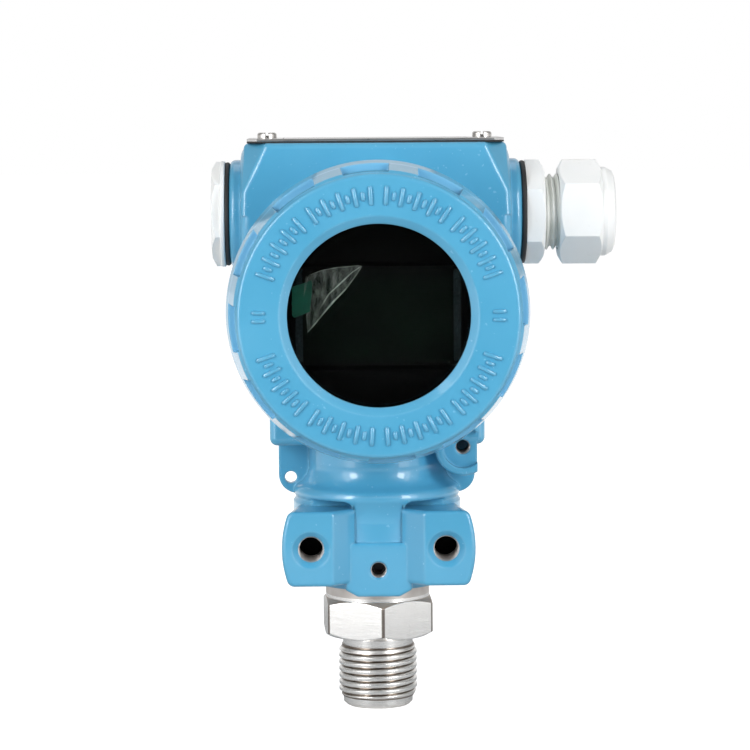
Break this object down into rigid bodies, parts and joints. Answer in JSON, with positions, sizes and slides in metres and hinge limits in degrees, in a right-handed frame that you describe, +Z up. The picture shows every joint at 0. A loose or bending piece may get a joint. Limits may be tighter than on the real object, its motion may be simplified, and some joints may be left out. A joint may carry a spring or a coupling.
{
  "type": "pressure transmitter",
  "caption": "Field-mounted gauge pressure transmitter with a screwed window cover, a blank cover, a nameplate over its keys, conduit fittings and a threaded process connection.",
  "frame": {"origin": "Centre of the pressure port's mouth, on the lower end of the process connection", "axes": "+Z up along the process connection, towards the nameplate; -Y towards the front, where the display looks; +X to the display's right, towards the cable gland"},
  "size_m": [0.1066, 0.104, 0.1536],
  "materials": {
    "paint": "semi-gloss blue enamel on cast aluminium",
    "rubber": "matt black rubber",
    "glass": "clear toughened glass",
    "aluminium": "turned aluminium",
    "black_plastic": "black moulded plastic with a fine texture",
    "lcd": "dark greenish display glass, switched off",
    "film": "clear protective film",
    "green_tab": "dark green plastic sheet",
    "board": "green solder mask",
    "brass": "nickel-plated brass",
    "stainless": "turned and brushed stainless steel",
    "white_plastic": "white moulded plastic",
    "nylon": "off-white moulded nylon",
    "lead": "black silicone sheath"
  },
  "bodies": {
    "housing": {"housing": "paint", "process_connection": "stainless", "sensor_oring": "rubber", "pressure_capsule": "stainless", "capsule_seal": "rubber", "capsule_ring_nut": "stainless", "lock_screw": "stainless", "sensor_lead": "lead", "display_bezel": "black_plastic", "lcd_panel": "lcd", "protective_film": "film", "film_pull_tab": "green_tab", "display_board": "board", "board_standoffs": "brass", "main_board": "board", "board_pillars": "brass", "feedthrough": "black_plastic", "terminal_block": "black_plastic", "terminal_plates": "brass", "terminal_screws": "stainless", "inner_earth_screw": "stainless", "nameplate_gasket": "rubber", "nameplate_screws": "stainless", "gland_body": "nylon", "gland_washer": "rubber", "blanking_plug": "nylon", "plug_washer": "rubber", "zero_spring": "stainless", "span_spring": "stainless"},
    "front_seal": {"front_cover_oring": "rubber"},
    "front_cover": {"front_cover": "paint", "window_gasket": "rubber", "window_glass": "glass", "window_retaining_ring": "aluminium"},
    "rear_seal": {"rear_cover_oring": "rubber"},
    "rear_cover": {"rear_cover": "paint"},
    "gland_seal": {"gland_seal": "rubber"},
    "gland_nut": {"gland_nut": "nylon"},
    "nameplate": {"nameplate": "stainless"},
    "zero_button": {"zero_button": "white_plastic"},
    "span_button": {"span_button": "white_plastic"}
  },
  "joints": [
    {"name": "front_cover_travel", "type": "slide", "parent": "housing", "child": "front_seal", "axis": [0, -1, 0], "range_m": [0, 0.009]},
    {"name": "front_cover_turn", "type": "hinge", "parent": "front_seal", "child": "front_cover", "pos_m": [0, -0.037, 0.1083], "axis": [0, -1, 0], "range_deg": [0, 2160]},
    {"name": "rear_cover_travel", "type": "slide", "parent": "housing", "child": "rear_seal", "axis": [0, 1, 0], "range_m": [0, 0.009]},
    {"name": "rear_cover_turn", "type": "hinge", "parent": "rear_seal", "child": "rear_cover", "pos_m": [0, 0.037, 0.1083], "axis": [0, 1, 0], "range_deg": [0, 2160]},
    {"name": "gland_travel", "type": "slide", "parent": "housing", "child": "gland_seal", "axis": [1, 0, 0], "range_m": [-0.00375, 0.00375]},
    {"name": "gland_turn", "type": "hinge", "parent": "gland_seal", "child": "gland_nut", "pos_m": [0.05, 0, 0.1321], "axis": [1, 0, 0], "range_deg": [-900, 900]},
    {"name": "nameplate_swing", "type": "hinge", "parent": "housing", "child": "nameplate", "pos_m": [-0.0285, 0, 0.1518], "axis": [0, 0, 1], "range_deg": [-90, 0]},
    {"name": "zero_press", "type": "slide", "parent": "housing", "child": "zero_button", "axis": [0, 0, -1], "range_m": [0, 0.0015], "stiffness_N_per_m": 400, "springref_m": -0.001, "deforming": ["zero_spring"]},
    {"name": "span_press", "type": "slide", "parent": "housing", "child": "span_button", "axis": [0, 0, -1], "range_m": [0, 0.0015], "stiffness_N_per_m": 400, "springref_m": -0.001, "deforming": ["span_spring"]}
  ],
  "couplings": [
    {"joint": "front_cover_travel", "follows": "front_cover_turn", "m_per_rad": 0.00023873},
    {"joint": "rear_cover_travel", "follows": "rear_cover_turn", "m_per_rad": 0.00023873},
    {"joint": "gland_travel", "follows": "gland_turn", "m_per_rad": 0.00023873}
  ]
}
